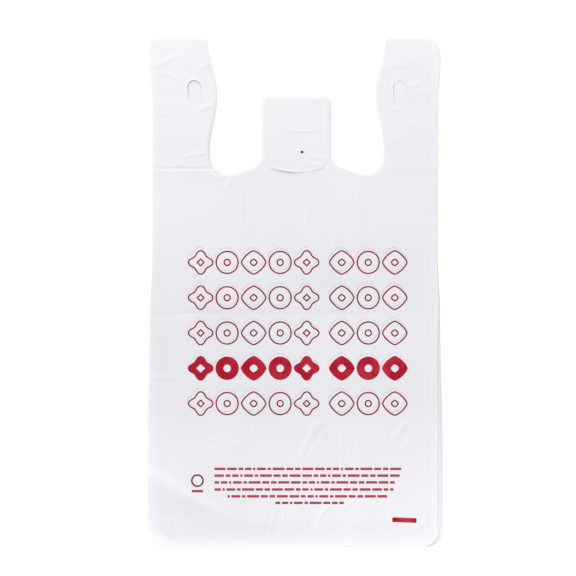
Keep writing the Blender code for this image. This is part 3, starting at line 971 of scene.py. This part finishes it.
def film_material(name, share):
    """Satin white film: whiter at its welds, with a painted highlight along its outer folds and up the
    edge of the bottom-left corner, and painted light and shade in its tones, faintly crinkled and
    streaked.
    """
    material = bpy.data.materials.new(name)
    material.use_nodes = True
    tree = material.node_tree
    link = tree.links.new
    shader = tree.nodes["Principled BSDF"]
    shader.inputs["Roughness"].default_value = FILM_ROUGHNESS
    shader.inputs["Specular IOR Level"].default_value = FILM_SPECULAR
    shader.inputs["Metallic"].default_value = 0.0
    place = node(tree, "ShaderNodeTexCoord").outputs["Object"]
    axes = node(tree, "ShaderNodeSeparateXYZ")
    link(place, axes.inputs[0])

    height = ranged(tree, axes.outputs["Y"], (BASE, TOP), (0.0, 1.0))
    # The film's tone at each side, partly painted light and shade
    ramps = [tone_and_light_ramp(tree, column, share) for column in (1, 2)]
    for ramp in ramps:
        link(height, ramp.inputs["Fac"])
    across = ranged(tree, axes.outputs["X"], (-WIDTH / 2, WIDTH / 2), (0.0, 1.0))
    sides = node(tree, "ShaderNodeMix", data_type="RGBA")
    link(across, sides.inputs["Factor"])
    link(ramps[0].outputs["Color"], sides.inputs["A"])
    link(ramps[1].outputs["Color"], sides.inputs["B"])

    cloud = noise(tree, place, *BLOTCH_NOISE)
    blotch = ranged(tree, cloud, BLOTCH_RANGE, (1 - BLOTCH, 1 + BLOTCH))
    # Painted highlight along the outer folds, stronger towards the base
    reach = node(tree, "ShaderNodeMath", operation="ABSOLUTE")
    link(axes.outputs["X"], reach.inputs[0])
    near = ranged(tree, reach.outputs["Value"], (FOLD_HIGHLIGHT_START, WIDTH / 2), (0.0, 1.0))
    strength = (BASE_FOLD_HIGHLIGHT, TOP_FOLD_HIGHLIGHT)
    white = node(tree, "ShaderNodeMath", operation="MULTIPLY_ADD")
    link(near, white.inputs[0])
    link(ranged(tree, axes.outputs["Y"], (BASE, 0.0), strength), white.inputs[1])
    white.inputs[2].default_value = 1.0
    tone_and_light = node(tree, "ShaderNodeVectorMath", operation="SCALE")
    link(sides.outputs["Result"], tone_and_light.inputs[0])
    link(combined(tree, "MULTIPLY", blotch, white.outputs["Value"]), tone_and_light.inputs["Scale"])

    ragged = noise(tree, place, *SEAL_NOISE)
    shift = ranged(tree, ragged, (0.0, 1.0), (-SEAL_RAGGED, SEAL_RAGGED))
    moved = combined(tree, "ADD", axes.outputs["Y"], shift)
    # Painted light on the edge of the bottom-left corner, as the weld's white reaching higher there
    corner = (-WIDTH / 2, CORNER_SEAL_AND_LIGHT_START)
    rise = ranged(tree, axes.outputs["X"], corner, (CORNER_SEAL_AND_LIGHT_RISE, 0.0))
    lowered = combined(tree, "SUBTRACT", moved, rise)
    low = ranged(tree, lowered, (BASE, BASE + SEAL_FADE), (1.0, 0.0))
    high = ranged(tree, moved, (TOP - SEAL_FADE, TOP), (0.0, TOP_SEAL_SHARE))
    seal_and_corner_light = combined(tree, "ADD", low, high, use_clamp=True)
    colour = node(tree, "ShaderNodeMix", data_type="RGBA")
    colour.inputs["B"].default_value = (*(share * c for c in SEAL_COLOUR), 1.0)
    link(seal_and_corner_light, colour.inputs["Factor"])
    link(tone_and_light.outputs["Vector"], colour.inputs["A"])
    link(colour.outputs["Result"], shader.inputs["Base Color"])

    drawn = node(tree, "ShaderNodeMapping")
    drawn.inputs["Scale"].default_value = STREAK_SCALE
    link(place, drawn.inputs["Vector"])
    streaks = noise(tree, drawn.outputs["Vector"], *STREAK_NOISE)
    crinkle = noise(tree, place, *CRINKLE_NOISE)
    relief = node(tree, "ShaderNodeBump")
    relief.inputs["Strength"].default_value = BUMP_STRENGTH
    relief.inputs["Distance"].default_value = BUMP_DISTANCE
    link(combined(tree, "ADD", streaks, crinkle), relief.inputs["Height"])
    link(relief.outputs["Normal"], shader.inputs["Normal"])
    return material


def ink_material(name, colour, worn_colour):
    """Ink that is worn paler in patches, and more so towards the right."""
    material = bpy.data.materials.new(name)
    material.use_nodes = True
    tree = material.node_tree
    link = tree.links.new
    shader = tree.nodes["Principled BSDF"]
    shader.inputs["Roughness"].default_value = INK_ROUGHNESS
    shader.inputs["Specular IOR Level"].default_value = INK_SPECULAR
    place = node(tree, "ShaderNodeTexCoord").outputs["Object"]
    axes = node(tree, "ShaderNodeSeparateXYZ")
    link(place, axes.inputs[0])
    across = ranged(tree, axes.outputs["X"], (ROW_X, -ROW_X), WEAR_ACROSS)
    patches = noise(tree, place, *WEAR_NOISE)
    worn = ranged(tree, patches, WEAR_RANGE, (0.0, 1.0))
    shade = node(tree, "ShaderNodeMix", data_type="RGBA")
    shade.inputs["A"].default_value = (*colour, 1.0)
    shade.inputs["B"].default_value = (*worn_colour, 1.0)
    link(combined(tree, "MULTIPLY", across, worn), shade.inputs["Factor"])
    link(shade.outputs["Result"], shader.inputs["Base Color"])
    return material


def film_piece():
    shell = build_film()
    mesh = bpy.data.meshes.new("film")
    mesh.from_pydata(shell.points, [], shell.faces)
    mesh.materials.append(film_material("white_film", 1.0))
    mesh.materials.append(ink_material("line_ink", LINE_INK_COLOUR, LINE_INK_COLOUR))
    mesh.materials.append(ink_material("solid_ink", INK_COLOUR, WORN_INK_COLOUR))
    mesh.materials.append(ink_material("fine_ink", FINE_INK_COLOUR, FINE_INK_COLOUR))
    # Painted shade round the pin hole
    mesh.materials.append(ink_material("painted_pin_shade", PIN_SHADE_COLOUR, PIN_SHADE_COLOUR))
    mesh.materials.append(ink_material("ghost_ink", GHOST_COLOUR, GHOST_COLOUR))
    # A darker copy of the film for the leaves, painted shade
    mesh.materials.append(film_material("painted_shade_leaf_film", LEAF_SHADE_SHARE))
    mesh.polygons.foreach_set("material_index", shell.carried)
    mesh.update()
    sheet = bpy.data.objects.new("film_sheet", mesh)
    bpy.context.scene.collection.objects.link(sheet)
    wall = sheet.modifiers.new("film_wall", "SOLIDIFY")
    wall.thickness = FILM
    wall.offset = 0.0
    solid = bpy.data.meshes.new_from_object(sheet.evaluated_get(bpy.context.evaluated_depsgraph_get()))
    bpy.data.objects.remove(sheet)
    solid.shade_smooth()
    solid.set_sharp_from_angle(angle=SHARP_ANGLE)
    film = bpy.data.objects.new("film", solid)
    bpy.context.scene.collection.objects.link(film)
    return film


def floor_piece():
    """A white floor that stays white to the eye and still takes the bag's contact shadow."""
    half = FLOOR_SIZE / 2
    mesh = bpy.data.meshes.new("floor")
    corners = [(-half, -half), (half, -half), (half, half), (-half, half)]
    mesh.from_pydata([(x, y, -FLOOR_DROP) for x, y in corners], [], [(0, 1, 2, 3)])
    material = bpy.data.materials.new("white_floor")
    material.use_nodes = True
    tree = material.node_tree
    link = tree.links.new
    tree.nodes.remove(tree.nodes["Principled BSDF"])
    plain = node(tree, "ShaderNodeBsdfDiffuse")
    plain.inputs["Color"].default_value = FLOOR_COLOUR
    path = node(tree, "ShaderNodeLightPath")
    seen = combined(
        tree, "ADD", path.outputs["Is Camera Ray"], path.outputs["Is Glossy Ray"], use_clamp=True
    )
    seen = combined(tree, "ADD", seen, path.outputs["Is Transmission Ray"], use_clamp=True)
    level = node(tree, "ShaderNodeMath", operation="MULTIPLY")
    level.inputs[1].default_value = FLOOR_GLOW
    link(seen, level.inputs[0])
    glow = node(tree, "ShaderNodeEmission")
    link(level.outputs["Value"], glow.inputs["Strength"])
    total = node(tree, "ShaderNodeAddShader")
    link(plain.outputs[0], total.inputs[0])
    link(glow.outputs[0], total.inputs[1])
    link(total.outputs[0], tree.nodes["Material Output"].inputs["Surface"])
    mesh.materials.append(material)
    floor = bpy.data.objects.new("floor", mesh)
    bpy.context.scene.collection.objects.link(floor)
    return floor


def add_world():
    world = bpy.data.worlds.new("studio")
    bpy.context.scene.world = world
    world.use_nodes = True
    tree = world.node_tree
    link = tree.links.new
    back = tree.nodes["Background"]
    back.inputs["Color"].default_value = (1.0, 1.0, 1.0, 1.0)
    path = node(tree, "ShaderNodeLightPath")
    level = node(tree, "ShaderNodeMapRange")
    level.inputs["To Min"].default_value = WORLD_LIGHT
    level.inputs["To Max"].default_value = 1.0
    link(path.outputs["Is Camera Ray"], level.inputs["Value"])
    link(level.outputs["Result"], back.inputs["Strength"])


def add_key_light():
    """A soft sun from the upper left, which gives flat film its share of the light."""
    light = bpy.data.lights.new("key", "SUN")
    light.angle = KEY_SPREAD
    light.energy = KEY_LIGHT * math.pi / math.sin(KEY_ELEVATION)
    key = bpy.data.objects.new("key", light)
    key.rotation_euler = (0.0, math.pi / 2 - KEY_ELEVATION, KEY_AZIMUTH)
    bpy.context.scene.collection.objects.link(key)


def add_camera():
    data = bpy.data.cameras.new("camera")
    data.type = "PERSP"
    data.sensor_width = SENSOR_WIDTH
    data.lens = data.sensor_width * CAMERA_HEIGHT / VIEW_WIDTH
    data.clip_end = VIEW_REACH
    camera = bpy.data.objects.new("camera", data)
    camera.location = (*VIEW_CENTRE, CAMERA_HEIGHT)
    bpy.context.scene.collection.objects.link(camera)
    bpy.context.scene.camera = camera


film = film_piece()
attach(film, "root")
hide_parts("bag")
floor_piece()
add_world()
add_key_light()
add_camera()
bpy.context.scene.view_settings.view_transform = "Standard"
